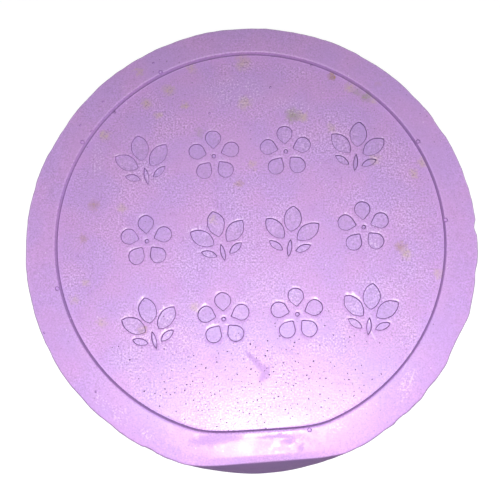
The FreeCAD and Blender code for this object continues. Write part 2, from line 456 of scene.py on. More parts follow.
@dataclass(frozen=True)
class Disc:
    """A flower heart's outline, in millimetres."""

    radius: float
    steps: int = 20

    def draw(self, inset: float, height: float) -> Piece:
        """Draw the outline as a closed loop of edges, set in evenly, at a height."""
        loop = start_chain("heart", mm(self.radius - inset, 0, height))
        sweep_chain(mm(0, 0, height), tau, self.steps)
        return close_chain(loop)


@dataclass(frozen=True)
class StampPattern:
    """Rows of flowers and leaf sprigs that a stamp left in the field, in millimetres and motif sizes."""

    radius: float = 29.05
    turn: float = radians(3.6)
    centre: Pair = (0.7, 1.6)
    row_share: float = 0.475
    column_share: float = 0.415
    motif_share: float = 0.317
    petals: int = 5
    petal_inner: Pair = (0.178, 0.055)
    petal_outer: Pair = (0.334, 0.166)
    heart: float = 0.06
    sprig_lean: float = radians(10.0)
    # The stem and each leaf, as its root, its tip and its width.
    leaves: tuple[tuple[Pair, Pair, float], ...] = (
        ((0.00, -0.50), (0.00, -0.10), 0.13), ((0.00, -0.02), (0.00, 0.50), 0.36),
        ((-0.10, -0.14), (-0.50, 0.21), 0.32), ((0.10, -0.14), (0.50, 0.21), 0.32),
        ((-0.09, -0.36), (-0.40, -0.19), 0.17), ((0.09, -0.36), (0.40, -0.19), 0.17),
    )
    # Columns either side of the middle, in column spacings, and rows: each its place, in row spacings,
    # and the motifs of its columns.
    columns: Pair = (1.5, 0.5)
    rows: tuple[tuple[float, tuple[Motif, Motif]], ...] = (
        (1.0, (Motif.SPRIG, Motif.FLOWER)),
        (0.0, (Motif.FLOWER, Motif.SPRIG)),
        (-1.0, (Motif.SPRIG, Motif.FLOWER)),
    )
    # The wall of every mark from above the field down, as inset and height: a soft lip, a drafted wall
    # and a soft foot.
    wall: tuple[Pair, ...] = (
        (0.0, 1.0), (0.0, 0.02), (0.16, -0.038), (0.20, -0.08),
        (0.235, -0.15), (0.26, -0.32), (0.29, -0.37), (0.34, -0.40),
    )
    # How far the outlines and their lips wander, and over what lengths.
    wander: tuple[Pair, ...] = ((0.08, 1.6), (0.03, 0.5))
    lip_wander: Pair = (0.012, 0.5)
    seed: int = 5

    @property
    def motif(self) -> float:
        """Width of one motif's square, in millimetres."""
        return self.motif_share * self.radius

    def sink(self, outline: Egg | Lens | Disc) -> Piece:
        """Make one mark's cutter by bridging its outline down the wall's steps.

        Args:
            outline: the mark's outline at the field, round the world's origin.

        Returns:
            The cutter, a closed solid.
        """
        piece = join([outline.draw(inset, height) for inset, height in self.wall], "mark")
        bpy.ops.object.mode_set(mode="EDIT")
        heights = [height * MM for _, height in self.wall]
        for upper, lower in zip(heights, heights[1:]):
            select_where(lambda place: min(abs(place.z - upper), abs(place.z - lower)) < SAME)
            bpy.ops.mesh.bridge_edge_loops()
        for end in (heights[0], heights[-1]):
            select_where(lambda place: abs(place.z - end) < SAME)
            bpy.ops.mesh.edge_face_add()
        close_solid()
        return piece

    def flower(self) -> Piece:
        """A flower's cutter: petals round a small heart."""
        petal = self.sink(Egg(*(share * self.motif for share in self.petal_inner + self.petal_outer)))
        angles = [tau * number / self.petals for number in range(1, self.petals)]
        others = [copy_placed(petal, Matrix.Rotation(angle, 4, "Z")) for angle in angles]
        return join([petal, *others, self.sink(Disc(self.heart * self.motif))], "flower")

    def sprig(self) -> Piece:
        """A sprig's cutter: a stem and its leaves."""
        size = self.motif
        pieces = []
        for root, tip, width in self.leaves:
            pieces.append(self.sink(Lens(Vector(root) * size, Vector(tip) * size, width * size)))
        return join(pieces, "sprig")

    def cutter(self) -> Piece:
        """The whole pattern's cutter, in place over the field."""
        patterns = {Motif.FLOWER: self.flower(), Motif.SPRIG: self.sprig()}
        placed = []
        block = Matrix.Translation(mm(*self.centre, SECTION.field_height))
        block = block @ Matrix.Rotation(self.turn, 4, "Z")
        for rows_up, motifs in self.rows:
            for columns, motif in zip(self.columns, motifs):
                for side in (-1, 1):
                    x = side * columns * self.column_share * self.radius
                    y = rows_up * self.row_share * self.radius
                    lean = -side * self.sprig_lean if motif is Motif.SPRIG else 0.0
                    placing = block @ Matrix.Translation(mm(x, y, 0)) @ Matrix.Rotation(lean, 4, "Z")
                    placed.append(copy_placed(patterns[motif], placing))
        for pattern in patterns.values():
            discard(pattern)
        cutter = join(placed, "pattern_cutter")
        self.roughen(cutter)
        return cutter

    def roughen(self, cutter: Piece) -> None:
        """Make the outlines and their lips wander a little, as pressing by hand leaves them."""
        noise.seed_set(self.seed)
        lip = self.wall[1][1] * MM + SECTION.field_height * MM
        rise, span = self.lip_wander
        for vertex in cutter.data.vertices:
            flat = Vector((vertex.co.x, vertex.co.y, 0))
            if abs(vertex.co.z - lip) < SAME:
                vertex.co.z += noise.noise(flat / (span * MM)) * rise * MM
            for reach, length in self.wander:
                push = noise.noise_vector(flat / (length * MM)) * reach * MM
                vertex.co += Vector((push.x, push.y, 0))


@dataclass(frozen=True)
class Bubbles:
    """Burst bubbles and pinholes in the soap's skin, in millimetres."""

    # Craters wide enough to show their wall, as x and y on the face.
    craters: tuple[Pair, ...] = (
        (-15.3, 29.4), (-28.3, 17.2), (-31.8, -7.6), (9.4, -30.5), (28.0, 17.1),
        (32.2, 3.7),
    )
    # Small deep pits, as x and y on the face.
    pits: tuple[Pair, ...] = (
        (-16.6, 31.1), (-25.0, 24.3), (-28.8, 20.2), (-26.8, 19.1), (-7.0, 22.4),
        (-23.1, 22.6), (-25.1, -24.4), (-33.9, -14.8), (-29.6, -12.5), (10.3, 30.8),
        (3.3, 26.9),
    )
    crater_radius: float = 0.38
    pit_radius: float = 0.17
    pinhole_radii: Pair = (0.05, 0.15)
    pinhole_mode: float = 0.075
    pinholes: int = 460
    pinhole_centre: Pair = (1.0, -24.0)
    pinhole_spread: Pair = (12.0, 4.8)
    pinhole_border: float = 1.2
    side_pits: int = 12
    back_pits: int = 16
    side_radii: Pair = (0.12, 0.3)
    side_heights: Pair = (3.0, 20.0)
    back_reaches: Pair = (4.0, 34.0)
    # How many times deeper than wide a pit is, and how many times longer at most.
    pit_depth: float = 1.6
    pit_length: float = 1.6
    # Heights over and under the puck, and the distance beside it, from where places are looked for.
    over: float = 40.0
    under: float = -20.0
    beside: float = 60.0
    apart: float = 0.1
    seed: int = 7

    def cutter(self, puck: Piece) -> Piece:
        """All the bubbles' cutter, in place in the puck's skin."""
        draws = random.Random(self.seed)
        down, up = Vector((0, 0, -1)), Vector((0, 0, 1))
        spots: list[tuple[Vector, float]] = []
        placed: list[Piece] = []
        balls = {}
        for rings in (1, 2, 3):
            deselect_all()
            bpy.ops.mesh.primitive_ico_sphere_add(subdivisions=rings, radius=MM)
            balls[rings] = bpy.context.object

        def sink(start: Vector, heading: Vector, radius: float, rings: int, depth: float = 1.0) -> None:
            """Place a ball where a line from a start meets the skin, unless it touches another.

            Args:
                start: a place outside the puck, in millimetres.
                heading: the line's direction.
                radius: the ball's radius, in millimetres.
                rings: how finely the ball is divided.
                depth: how many times deeper than wide the ball is.
            """
            hit, place, _, _ = puck.ray_cast(start * MM, heading)
            spot = place / MM
            reach = radius * max(depth, 1.0) + self.apart
            if not hit or any((spot - other).length < reach + width for other, width in spots):
                return
            spots.append((spot, reach))
            turn = Matrix.Rotation(draws.uniform(0, pi), 4, "Z")
            stretch = draws.uniform(1.0, self.pit_length) if depth > 1.0 else 1.0
            size = Matrix.Diagonal((radius * stretch, radius, radius * depth, 1.0))
            placed.append(copy_placed(balls[rings], Matrix.Translation(place) @ turn @ size))

        for x, y in self.craters:
            sink(Vector((x, y, self.over)), down, self.crater_radius, 3)
        for x, y in self.pits:
            sink(Vector((x, y, self.over)), down, self.pit_radius, 2, self.pit_depth)
        for _ in range(self.pinholes):
            x = draws.gauss(self.pinhole_centre[0], self.pinhole_spread[0])
            y = draws.gauss(self.pinhole_centre[1], self.pinhole_spread[1])
            radius = draws.triangular(*self.pinhole_radii, self.pinhole_mode)
            if hypot(x, y) < SECTION.field_radius - self.pinhole_border:
                sink(Vector((x, y, self.over)), down, radius, 1, self.pit_depth)
        for _ in range(self.side_pits):
            angle, height = draws.uniform(0, tau), draws.uniform(*self.side_heights)
            outward = Vector((cos(angle), sin(angle), 0))
            start = outward * self.beside + Vector((0, 0, height))
            sink(start, -outward, draws.uniform(*self.side_radii), 2)
        for _ in range(self.back_pits):
            angle, reach = draws.uniform(0, tau), draws.uniform(*self.back_reaches)
            start = Vector((reach * cos(angle), reach * sin(angle), self.under))
            sink(start, up, draws.uniform(*self.side_radii), 2)
        for ball in balls.values():
            discard(ball)
        return join(placed, "bubble_cutter")


@dataclass(frozen=True)
class Dent:
    """A place where the outer edge is knocked in, or stands out as a burr if its depth is negative.

    Its direction and half its width are in degrees, its depth in millimetres.
    """

    turn: float
    half: float
    depth: float


DENTS = (
    Dent(150.0, 7.0, 0.22), Dent(32.0, 3.0, 0.25), Dent(4.0, 1.6, 0.4), Dent(-7.5, 3.0, 0.22),
    Dent(-18.5, 3.0, -0.26), Dent(-26.5, 5.0, 0.34), Dent(-40.0, 3.0, 0.16), Dent(-50.0, 2.0, 0.2),
    Dent(-55.5, 3.0, 0.15), Dent(-116.0, 2.0, 0.28), Dent(-128.5, 3.0, 0.18), Dent(-138.0, 2.5, 0.16),
    Dent(-152.0, 2.0, 0.16),
)


@dataclass(frozen=True)
class CastSkin:
    """Slight unevenness of the rim and the side wall, as a hand-filled mould leaves it, in millimetres."""

    # Radii and heights over which the dents come in.
    dent_radii: Pair = (36.6, 37.8)
    dent_heights: Pair = (18.5, 22.0)
    # Depth and size of the edge's fine raggedness, then of the swells all over the outer skin.
    crumb: float = 0.11
    crumb_size: float = 1.3
    height: float = 0.26
    feature: float = 8.0
    detail: int = 3
    inner_radius: float = 34.0
    lowest: float = 2.0

    def dented(self, place: Vector) -> Vector:
        """Knock one point of the pressed puck.

        Args:
            place: the point, in metres.

        Returns:
            Where it ends up, in metres.
        """
        turn = degrees(atan2(place.y, place.x))
        depth = self.crumb * noise.noise(place / (self.crumb_size * MM))
        for dent in DENTS:
            away = abs((turn - dent.turn + 180) % 360 - 180) / dent.half
            depth += dent.depth * max(1 - away**2, 0.0)
        share = 1.0
        for value, (least, most) in ((place.xy.length, self.dent_radii), (place.z, self.dent_heights)):
            share *= clamped((value / MM - least) / (most - least))
        return place - Vector((place.x, place.y, 0)).normalized() * depth * share * MM

    def ruffle(self, puck: Piece) -> None:
        """Push the outer skin in and out a little."""
        outer = puck.vertex_groups.new(name="outer_skin")
        for vertex in puck.data.vertices:
            reach = vertex.co.xy.length / MM - self.inner_radius
            reach /= SECTION.face_radius - self.inner_radius
            rise = (vertex.co.z / MM - self.lowest) / self.lowest
            outer.add([vertex.index], clamped(reach) * clamped(rise), "REPLACE")
        clouds = bpy.data.textures.new("cast_skin", "CLOUDS")
        clouds.noise_scale = self.feature * MM
        clouds.noise_depth = self.detail
        push = puck.modifiers.new("skin", "DISPLACE")
        push.texture = clouds
        push.texture_coords = "LOCAL"
        push.vertex_group = outer.name
        push.strength = self.height * MM
        activate(puck)
        bpy.ops.object.modifier_apply(modifier=push.name)
        puck.vertex_groups.clear()
        bpy.data.textures.remove(clouds)


@dataclass
class SoapPuck:
    """The whole puck as one piece."""

    segments: int = 360
    smooth_angle: float = radians(40)
    press: PressedSide = PressedSide()
    pattern: StampPattern = StampPattern()
    bubbles: Bubbles = Bubbles()
    skin: CastSkin = CastSkin()

    def lathe(self) -> Piece:
        """Turn the section into a closed puck, still round and plain."""
        points = SECTION.points()
        puck = start_chain("soap_cake", mm(points[0].x, 0, points[0].y))
        for before, after in zip(points, points[1:]):
            extend_chain(mm(after.x - before.x, 0, after.y - before.y))
        bpy.ops.mesh.select_all(action="SELECT")
        bpy.ops.mesh.spin(steps=self.segments, angle=tau, center=(0, 0, 0), axis=(0, 0, 1))
        bpy.ops.mesh.select_all(action="SELECT")
        bpy.ops.mesh.remove_doubles(threshold=SAME)
        for end in (points[0], points[-1]):
            select_where(lambda place: dist((place.xy.length, place.z), end * MM) < SAME)
            bpy.ops.mesh.fill_grid(span=self.segments // 4)
        close_solid()
        return puck

    def build(self, finish: "CastSoap") -> Piece:
        """Build the puck, dress it and hand it over."""
        puck = self.lathe()
        for vertex in puck.data.vertices:
            vertex.co = self.skin.dented(self.press.moved(vertex.co))
        self.skin.ruffle(puck)
        cut_away(puck, self.pattern.cutter())
        cut_away(puck, self.bubbles.cutter(puck))
        activate(puck)
        bpy.ops.object.shade_smooth_by_angle(angle=self.smooth_angle)
        normals = puck.modifiers.new("normals", "WEIGHTED_NORMAL")
        normals.keep_sharp = True
        bpy.ops.object.modifier_apply(modifier=normals.name)
        puck.data.materials.clear()
        puck.data.materials.append(finish.material())
        return puck


# ---------------- finishes


def srgb(code: str) -> tuple[float, float, float, float]:
    """Turn an sRGB hex colour into the linear one that shaders read."""
    channels = [int(code[start : start + 2], 16) / 255 for start in (1, 3, 5)]
    linear = [part / 12.92 if part <= 0.04045 else ((part + 0.055) / 1.055) ** 2.4 for part in channels]
    return (*linear, 1.0)


def per_metre(feature: float) -> float:
    """Return the texture scale at which a pattern's features are this many millimetres wide."""
    return 1 / (feature * MM)


def add_node(
    tree: bpy.types.NodeTree, kind: str, sockets: dict | tuple = (), output: str | int = 0, **settings: object
) -> Socket | None:
    """Add a shader node with its settings and inputs, and return one of its outputs.

    Args:
        tree: the node tree it goes in.
        kind: the node's type without its prefix, such as Math.
        sockets: a value, or the socket that feeds it, for each input in order or by name.
        output: name or number of the output that is wanted.
        settings: the node's own properties.

    Returns:
        The output's socket, or nothing for a node without outputs.
    """
    node = tree.nodes.new(f"ShaderNode{kind}")
    for name, value in settings.items():
        setattr(node, name, value)
    for key, value in sockets.items() if isinstance(sockets, dict) else enumerate(sockets):
        if isinstance(value, Socket):
            tree.links.new(value, node.inputs[key])
        else:
            node.inputs[key].default_value = value
    return node.outputs[output] if node.outputs else None


def start_nodes(owner: bpy.types.Material | bpy.types.World) -> AddNode:
    """Give a material or world an empty node tree, and return what adds a node to it."""
    owner.use_nodes = True
    owner.node_tree.nodes.clear()
    return partial(add_node, owner.node_tree)


class StainTone(Enum):
    """Colours of the stains that ingredients left in the soap's skin."""

    TAN = "#cfb8a4"
    BROWN = "#b08c72"
    GREY = "#a89c98"


@dataclass(frozen=True)
class Stain:
    """One stain on the face, in millimetres."""

    x: float
    y: float
    radius: float
    strength: float = 0.5


STAINS = {
    StainTone.TAN: (
        Stain(-18.9, 29.4, 0.8, 0.7), Stain(-14.0, 26.5, 0.9), Stain(-17.7, 24.2, 0.8),
        Stain(-15.6, 22.1, 0.6), Stain(-11.2, 23.8, 0.6), Stain(-24.7, 18.5, 0.8),
        Stain(-10.2, 30.3, 0.7, 0.4), Stain(-1.4, 31.2, 1.1), Stain(-1.0, 24.2, 1.0),
        Stain(-21.6, 5.9, 0.7, 0.4), Stain(-6.3, 4.1, 0.7), Stain(16.8, 26.8, 0.8, 0.55),
        Stain(20.8, 24.4, 0.6, 0.4), Stain(8.8, 21.8, 0.8, 0.6), Stain(27.2, 11.7, 0.7),
        Stain(28.7, 13.6, 0.7), Stain(25.6, -1.8, 0.8, 0.6), Stain(30.8, -5.1, 0.6, 0.4),
        Stain(0.3, 13.4, 0.7, 0.4), Stain(13.6, 19.7, 0.7, 0.4), Stain(20.9, 14.3, 0.8, 0.4),
        Stain(-29.0, -9.4, 0.7, 0.4), Stain(-24.5, -13.2, 0.8, 0.4), Stain(-9.2, -10.7, 0.7),
        Stain(-27.3, -6.5, 0.6, 0.4), Stain(16.9, -22.4, 0.8, 0.3),
    ),
    StainTone.BROWN: (
        Stain(-2.1, 10.2, 0.7), Stain(-26.3, 6.6, 0.9, 0.45), Stain(-27.8, 1.0, 0.7, 0.4),
        Stain(13.9, 28.9, 0.6, 0.75), Stain(21.4, 27.2, 0.7, 0.35), Stain(24.7, -0.5, 0.8, 0.55),
        Stain(-18.0, -14.2, 0.7, 0.6),
    ),
    StainTone.GREY: (
        Stain(-8.7, 19.0, 0.7, 0.3), Stain(18.2, 26.0, 0.7), Stain(19.6, 25.2, 0.8, 0.7),
        Stain(7.1, 22.0, 1.1, 0.8),
    ),
}

class Wear(Enum):
    """What handling left on the face."""

    KNEADED = "uneven skin"
    WIPE = "dulled skin"
    SCRATCH = "pale line"
    SCUFF = "pale flecks"


@dataclass(frozen=True)
class Mark:
    """One place on the face that handling marked: an oval in millimetres, its length turned from +X by some
    degrees.
    """

    x: float
    y: float
    length: float
    width: float
    turn: float = 0.0


MARKS = {
    Wear.KNEADED: (
        Mark(8.5, -33.2, 15.0, 6.5, 6.0), Mark(-10.5, -32.2, 13.0, 4.6, -18.0),
    ),
    Wear.WIPE: (
        Mark(-5.6, -31.9, 9.0, 2.0, 8.0), Mark(0.6, -19.4, 5.4, 1.1, -46.0),
        Mark(2.3, -20.9, 2.4, 1.6, -40.0), Mark(2.3, -21.6, 3.4, 1.6, 60.0),
        Mark(6.3, -32.1, 3.6, 1.2, 20.0), Mark(8.0, -33.4, 2.6, 1.0, 60.0), Mark(4.4, -31.5, 7.0, 0.7, 4.0),
    ),
    Wear.SCRATCH: (
        Mark(26.0, -22.2, 3.4, 0.35, 70.0), Mark(24.9, -20.4, 2.6, 0.3, 62.0),
        Mark(25.9, -18.6, 2.2, 0.3, 75.0), Mark(19.9, -15.2, 2.4, 0.3, -62.0),
    ),
    Wear.SCUFF: (
        Mark(17.6, -27.0, 5.0, 2.2, 34.0), Mark(13.5, -30.2, 4.4, 1.8, 24.0),
        Mark(25.2, -23.4, 6.5, 2.4, 65.0), Mark(-23.9, -26.0, 3.4, 2.2, -45.0),
        Mark(-21.0, -28.2, 4.0, 2.6, -45.0), Mark(-16.7, -31.0, 3.0, 1.6, -30.0),
        Mark(-10.3, 1.8, 1.8, 4.6), Mark(-25.8, 14.4, 2.4, 6.0),
        Mark(-16.9, 10.8, 6.0, 2.4, 10.0), Mark(-2.6, 26.0, 12.0, 6.0),
        Mark(7.0, 23.6, 9.0, 3.0, -8.0), Mark(12.5, -16.8, 9.0, 4.0, 10.0), Mark(20.6, 1.0, 4.0, 6.0),
        Mark(-13.0, -16.0, 9.0, 5.0),
    ),
}

@dataclass(frozen=True)
class CastSoap:
    """Hard glycerine soap cast in a smooth mould: a waxy, slightly glossy skin with a fine stipple.

    Its dye is unevenly stirred in, so it is mottled from pink to blue. The sunk field is rougher than the
    rim, steep walls are duller and carry painted shade that is darkest at their foot, and handling has
    marked the gloss, with painted shade where it dulled the skin. Pale flecks are partly painted glints.
    Lengths are in millimetres.
    """

    colour: str = "#cfa2e2"
    pinker: str = "#dba6dc"
    bluer: str = "#bda0e6"
    # Painted shade for steep walls, darkest at their foot.
    painted_wall_shade: str = "#6c5482"
    stamped: str = "#bca4e2"
    # Pale flecks and dots, partly painted glints.
    fleck_and_glint: str = "#eed4fb"
    speck: str = "#7a5a90"
    # Painted shade where handling dulled the skin's gloss.
    dulled_and_shaded: str = "#bb92d4"
    stain_core: str = "#6f5248"
    # How much of each tint is laid on, and how much the whole is lightened.
    mottle_share: float = 0.22
    stamped_share: float = 0.25
    scuff_share: float = 0.75
    sprinkle_share: float = 0.6
    scratch_share: float = 0.55
    dulled_shade_share: float = 0.4
    # Share of painted shade on the puck's outer side wall.
    wall_shade_share: float = 0.74
    lightness: float = 1.02
    # Stipple, patches, flecks, mottling, swells and dimples: width of a feature, detail and roughness.
    noises: tuple[Triple, ...] = (
        (0.3, 2.0, 0.6), (7.0, 2.0, 0.5), (0.3, 1.0, 0.5), (6.0, 1.0, 0.5), (3.6, 2.0, 0.5), (1.0, 2.0, 0.5),
    )
    # Depths and strengths of the bumps made by the swells, the dimples and the stipple.
    bumps: tuple[Pair, ...] = ((0.06, 0.5), (0.02, 0.6), (0.02, 0.8))
    field_grain: float = 1.22
    rim_grain: float = 0.68
    # Dots, as spacing, largest radius and rarity of large ones.
    # The pale dots are partly painted glints.
    pale_dots_and_glints: Triple = (4.2, 0.14, 1.0)
    dark_dots: Triple = (1.1, 0.15, 2.0)
    # How outlines wander: over what length, and how far.
    stain_wander: Pair = (0.8, 2.6)
    mark_wander: Pair = (1.2, 1.6)
    scratch_wander: Pair = (0.6, 0.1)
    # Where the field's finish fades out, how deep it reaches, and depths between which a floor begins.
    field_border: Pair = (31.2, 31.8)
    finish_depth: float = 1.5
    floor_depths: Pair = (0.22, 0.32)
    # The painted shade on the step and the marks' walls weakens the further it lies this way, down to a
    # share, and is weaker on the lip.
    shade_fade_way: Triple = (-0.5, 0.87, 0.0)
    shade_fade_reach: float = 28.0
    shade_fade_share: float = 0.42
    lip_shade_share: float = 0.6
    shade_lip_heights: Pair = (0.12, 0.45)
    ior: float = 1.47
    roughness: float = 0.31

    def zones(self, add: AddNode, place: Socket) -> tuple[Socket, Socket, Socket]:
        """Find the parts of the face.

        Args:
            add: adds a node to the material.
            place: Object coordinates.

        Returns:
            Masks of the field and its marks' floors, and the share of painted shade in steep walls.
        """
        flat = add("VectorMath", (place, (1.0, 1.0, 0.0)), operation="MULTIPLY")
        reach = add("VectorMath", (flat,), "Value", operation="LENGTH")
        start, end = (radius * MM for radius in self.field_border)
        inside = add("MapRange", (reach, start, end, 1.0, 0.0))
        height = add("SeparateXYZ", (place,), "Z")
        floor = SECTION.field_height * MM
        above = add("Math", (height, floor - self.finish_depth * MM), operation="GREATER_THAN")
        on_field = add("Math", (inside, above), operation="MULTIPLY")
        start, end = (floor - depth * MM for depth in self.floor_depths)
        sunk = add("MapRange", (height, start, end, 0.0, 1.0))
        in_mark = add("Math", (sunk, on_field), operation="MULTIPLY")
        # Painted shade: a full share on the outer wall, weakening across the field one way, and weaker from
        # each wall's foot up to its lip.
        along = add("VectorMath", (place, self.shade_fade_way), "Value", operation="DOT_PRODUCT")
        step_shade_share = add("MapRange", (along, 0.0, self.shade_fade_reach * MM, 1.0, self.shade_fade_share))
        lip = add("Math", (step_shade_share, self.lip_shade_share), operation="MULTIPLY")
        below = add("MapRange", (on_field, 0.0, 1.0, self.wall_shade_share, step_shade_share))
        start, end = (floor + rise * MM for rise in self.shade_lip_heights)
        painted_wall_shade = add("MapRange", (height, start, end, below, lip))
        return on_field, in_mark, painted_wall_shade

    def dyed(self, add: AddNode, clouds: Socket, lighter: Socket) -> Socket:
        """Colour of the soap itself: base, pink and blue mottling, and grain.

        Args:
            add: adds a node to the material.
            clouds: the mottling's noise.
            lighter: how much lighter or darker each spot is, around 0.
        """
        share = add("MapRange", (clouds, 0.3, 0.7, 0.0, 1.0), interpolation_type="SMOOTHSTEP")
        hue = add("Mix", {0: share, 6: srgb(self.pinker), 7: srgb(self.bluer)}, 2, data_type="RGBA")
        mottled = add("Mix", {0: self.mottle_share, 6: srgb(self.colour), 7: hue}, 2, data_type="RGBA")
        level = add("Math", (lighter, self.lightness), operation="ADD")
        return add("Mix", {0: 1.0, 6: mottled, 7: level}, 2, data_type="RGBA", blend_type="MULTIPLY")

    @staticmethod
    def strewn(add: AddNode, place: Socket, spacing: float, radius: float, rarity: float) -> Socket:
        """Mask of dots strewn over what faces up or down.

        Args:
            add: adds a node to the material.
            place: Object coordinates.
            spacing: mean distance between neighbours, in millimetres.
            radius: radius of the largest, in millimetres.
            rarity: how rare large dots are; 1 makes every radius as common.
        """
        cells = {"Vector": place, "Scale": per_metre(spacing)}
        away = add("TexVoronoi", cells, "Distance", voronoi_dimensions="2D")
        draw = add("SeparateColor", (away.node.outputs["Color"],))
        rare = add("Math", (draw, rarity), operation="POWER")
        reach = add("Math", (rare, radius / spacing), operation="MULTIPLY")
        near = add("Math", (away, reach), operation="DIVIDE")
        return add("MapRange", (near, 0.6, 1.0, 1.0, 0.0))

    @staticmethod
    def tinted(add: AddNode, colour: Socket, tint: str, mask: Socket, share: Socket | float) -> Socket:
        """Lay a tint over a colour where a mask says, in a share."""
        cover = add("Math", (mask, share), operation="MULTIPLY", use_clamp=True)
        return add("Mix", {0: cover, 6: colour, 7: srgb(tint)}, 2, data_type="RGBA")

    @staticmethod
    def bent(add: AddNode, place: Socket, length: float, reach: float) -> Socket:
        """Object coordinates that wander by up to a reach over a length, both in millimetres."""
        sockets = {"Vector": place, "Scale": per_metre(length), "Detail": 3.0, "Roughness": 0.7}
        wander = add("TexNoise", sockets, "Color")
        centred = add("VectorMath", (wander, (0.5, 0.5, 0.5)), operation="SUBTRACT")
        return add("VectorMath", (centred, (reach * MM, reach * MM, 0.0), place), operation="MULTIPLY_ADD")

    @staticmethod
    def strongest(add: AddNode, masks: list[Socket]) -> Socket:
        """The highest of some masks."""
        return reduce(lambda most, mask: add("Math", (most, mask), operation="MAXIMUM"), masks)

    def stained(self, add: AddNode, place: Socket, grain: Socket, colour: Socket) -> Socket:
        """Lay the stains over a colour, ragged and speckled."""
        bent = self.bent(add, place, *self.stain_wander)
        speckle = add("MapRange", (grain, 0.38, 0.6, 0.4, 1.6))
        core = add("MapRange", (grain, 0.42, 0.34, 0.0, 0.9))
        for tone, stains in STAINS.items():
            patches = []
            for stain in stains:
                centre = mm(stain.x, stain.y, SECTION.field_height)
                away = add("VectorMath", (bent, centre), "Value", operation="DISTANCE")
                edge = 1.5 * stain.radius * MM
                patches.append(add("MapRange", (away, 0.2 * edge, edge, stain.strength, 0.0)))
            cover = self.strongest(add, patches)
            colour = self.tinted(add, colour, tone.value, cover, speckle)
            colour = self.tinted(add, colour, self.stain_core, cover, core)
        return colour

    def marked(self, add: AddNode, place: Socket, kind: Wear) -> Socket:
        """Mask of the marked places of one kind, with ragged edges."""
        bent = self.bent(add, place, *(self.scratch_wander if kind is Wear.SCRATCH else self.mark_wander))
        patches = []
        for mark in MARKS[kind]:
            centre = mm(mark.x, mark.y, SECTION.field_height)
            turn = (0.0, 0.0, radians(mark.turn))
            halves = mm(mark.length / 2, mark.width / 2, mark.length / 2)
            laid = add("Mapping", (bent, centre, turn, halves), vector_type="TEXTURE")
            away = add("VectorMath", (laid,), "Value", operation="LENGTH")
            patches.append(add("MapRange", (away, 0.6, 1.15, 1.0, 0.0)))
        return self.strongest(add, patches)

    def material(self) -> bpy.types.Material:
        """Build the node tree."""
        material = bpy.data.materials.new("cast_lilac_soap")
        add = start_nodes(material)
        place = add("TexCoord", output="Object")
        grain, patchy, flecks, clouds, swell, dimples = (
            add("TexNoise", {"Vector": place, "Scale": per_metre(size), "Detail": detail, "Roughness": rough})
            for size, detail, rough in self.noises
        )
        on_field, in_mark, painted_wall_shade = self.zones(add, place)

        # Grain: strongest in patches of the field, faint on the rim.
        strength = add("MapRange", (on_field, 0.0, 1.0, self.rim_grain, self.field_grain))
        uneven = add("MapRange", (patchy, 0.35, 0.65, 0.55, 1.35))
        strength = add("Math", (strength, uneven), operation="MULTIPLY")
        centred = add("Math", (grain, 0.5), operation="SUBTRACT")
        lighter = add("Math", (centred, strength), operation="MULTIPLY")

        # Colour: dye, stamped floors, stains, flecks that are partly painted glints, what hands left with
        # painted shade where they dulled the skin, and painted shade on steep walls.
        colour = self.dyed(add, clouds, lighter)
        colour = self.tinted(add, colour, self.stamped, in_mark, self.stamped_share)
        colour = self.stained(add, place, grain, colour)
        facing = add("SeparateXYZ", (add("TexCoord", output="Normal"),), "Z")
        level = add("Math", (facing,), operation="ABSOLUTE")
        flat = add("MapRange", (level, 0.9, 0.98, 0.0, 1.0))
        # Pale flecks in patches of the field and the scuffed places, and pale dots: partly painted glints, on
        # what faces up or down.
        flecks = add("MapRange", (flecks, 0.54, 0.68, 0.0, 1.0))
        sprinkled = add("MapRange", (patchy, 0.48, 0.68, 0.0, self.sprinkle_share))
        sprinkled = add("Math", (sprinkled, on_field), operation="MULTIPLY")
        scuffs = self.marked(add, place, Wear.SCUFF)
        scuffed = add("Math", (scuffs, self.scuff_share), operation="MULTIPLY")
        scuffed = add("Math", (scuffed, sprinkled), operation="MAXIMUM")
        scuffed = add("Math", (scuffed, flat), operation="MULTIPLY")
        colour = self.tinted(add, colour, self.fleck_and_glint, flecks, scuffed)
        colour = self.tinted(add, colour, self.fleck_and_glint, self.strewn(add, place, *self.pale_dots_and_glints), flat)
        darkened = add("MapRange", (patchy, 0.5, 0.35, 0.2, 0.6))
        darkened = add("Math", (darkened, flat), operation="MULTIPLY")
        colour = self.tinted(add, colour, self.speck, self.strewn(add, place, *self.dark_dots), darkened)
        scratches = self.marked(add, place, Wear.SCRATCH)
        colour = self.tinted(add, colour, self.fleck_and_glint, scratches, self.scratch_share)
        # Wiped places: duller skin in the roughness below, and painted shade in the colour here.
        wiped = self.marked(add, place, Wear.WIPE)
        colour = self.tinted(add, colour, self.dulled_and_shaded, wiped, self.dulled_shade_share)
        # Steep walls take painted shade in the share worked out in zones.
        steep = add("MapRange", (level, 0.9, 0.5, 0.0, 1.0), interpolation_type="SMOOTHSTEP")
        colour = self.tinted(add, colour, self.painted_wall_shade, steep, painted_wall_shade)

        # Skin: broad swells, dimples and a stipple, rougher in the marks.
        kneaded = self.marked(add, place, Wear.KNEADED)
        lumpy = add("Math", (kneaded, 2.5, 1.0), operation="MULTIPLY_ADD")
        lumps = add("Math", (swell, lumpy), operation="MULTIPLY")
        coarser = add("Math", (in_mark, 0.8, 1.0), operation="MULTIPLY_ADD")
        coarser = add("Math", (coarser, lighter), operation="MULTIPLY")
        relief = {}
        for height, (depth, strength) in zip((lumps, dimples, coarser), self.bumps):
            sockets = {"Height": height, "Distance": depth * MM, "Strength": strength}
            relief = {"Normal": add("Bump", sockets | relief)}

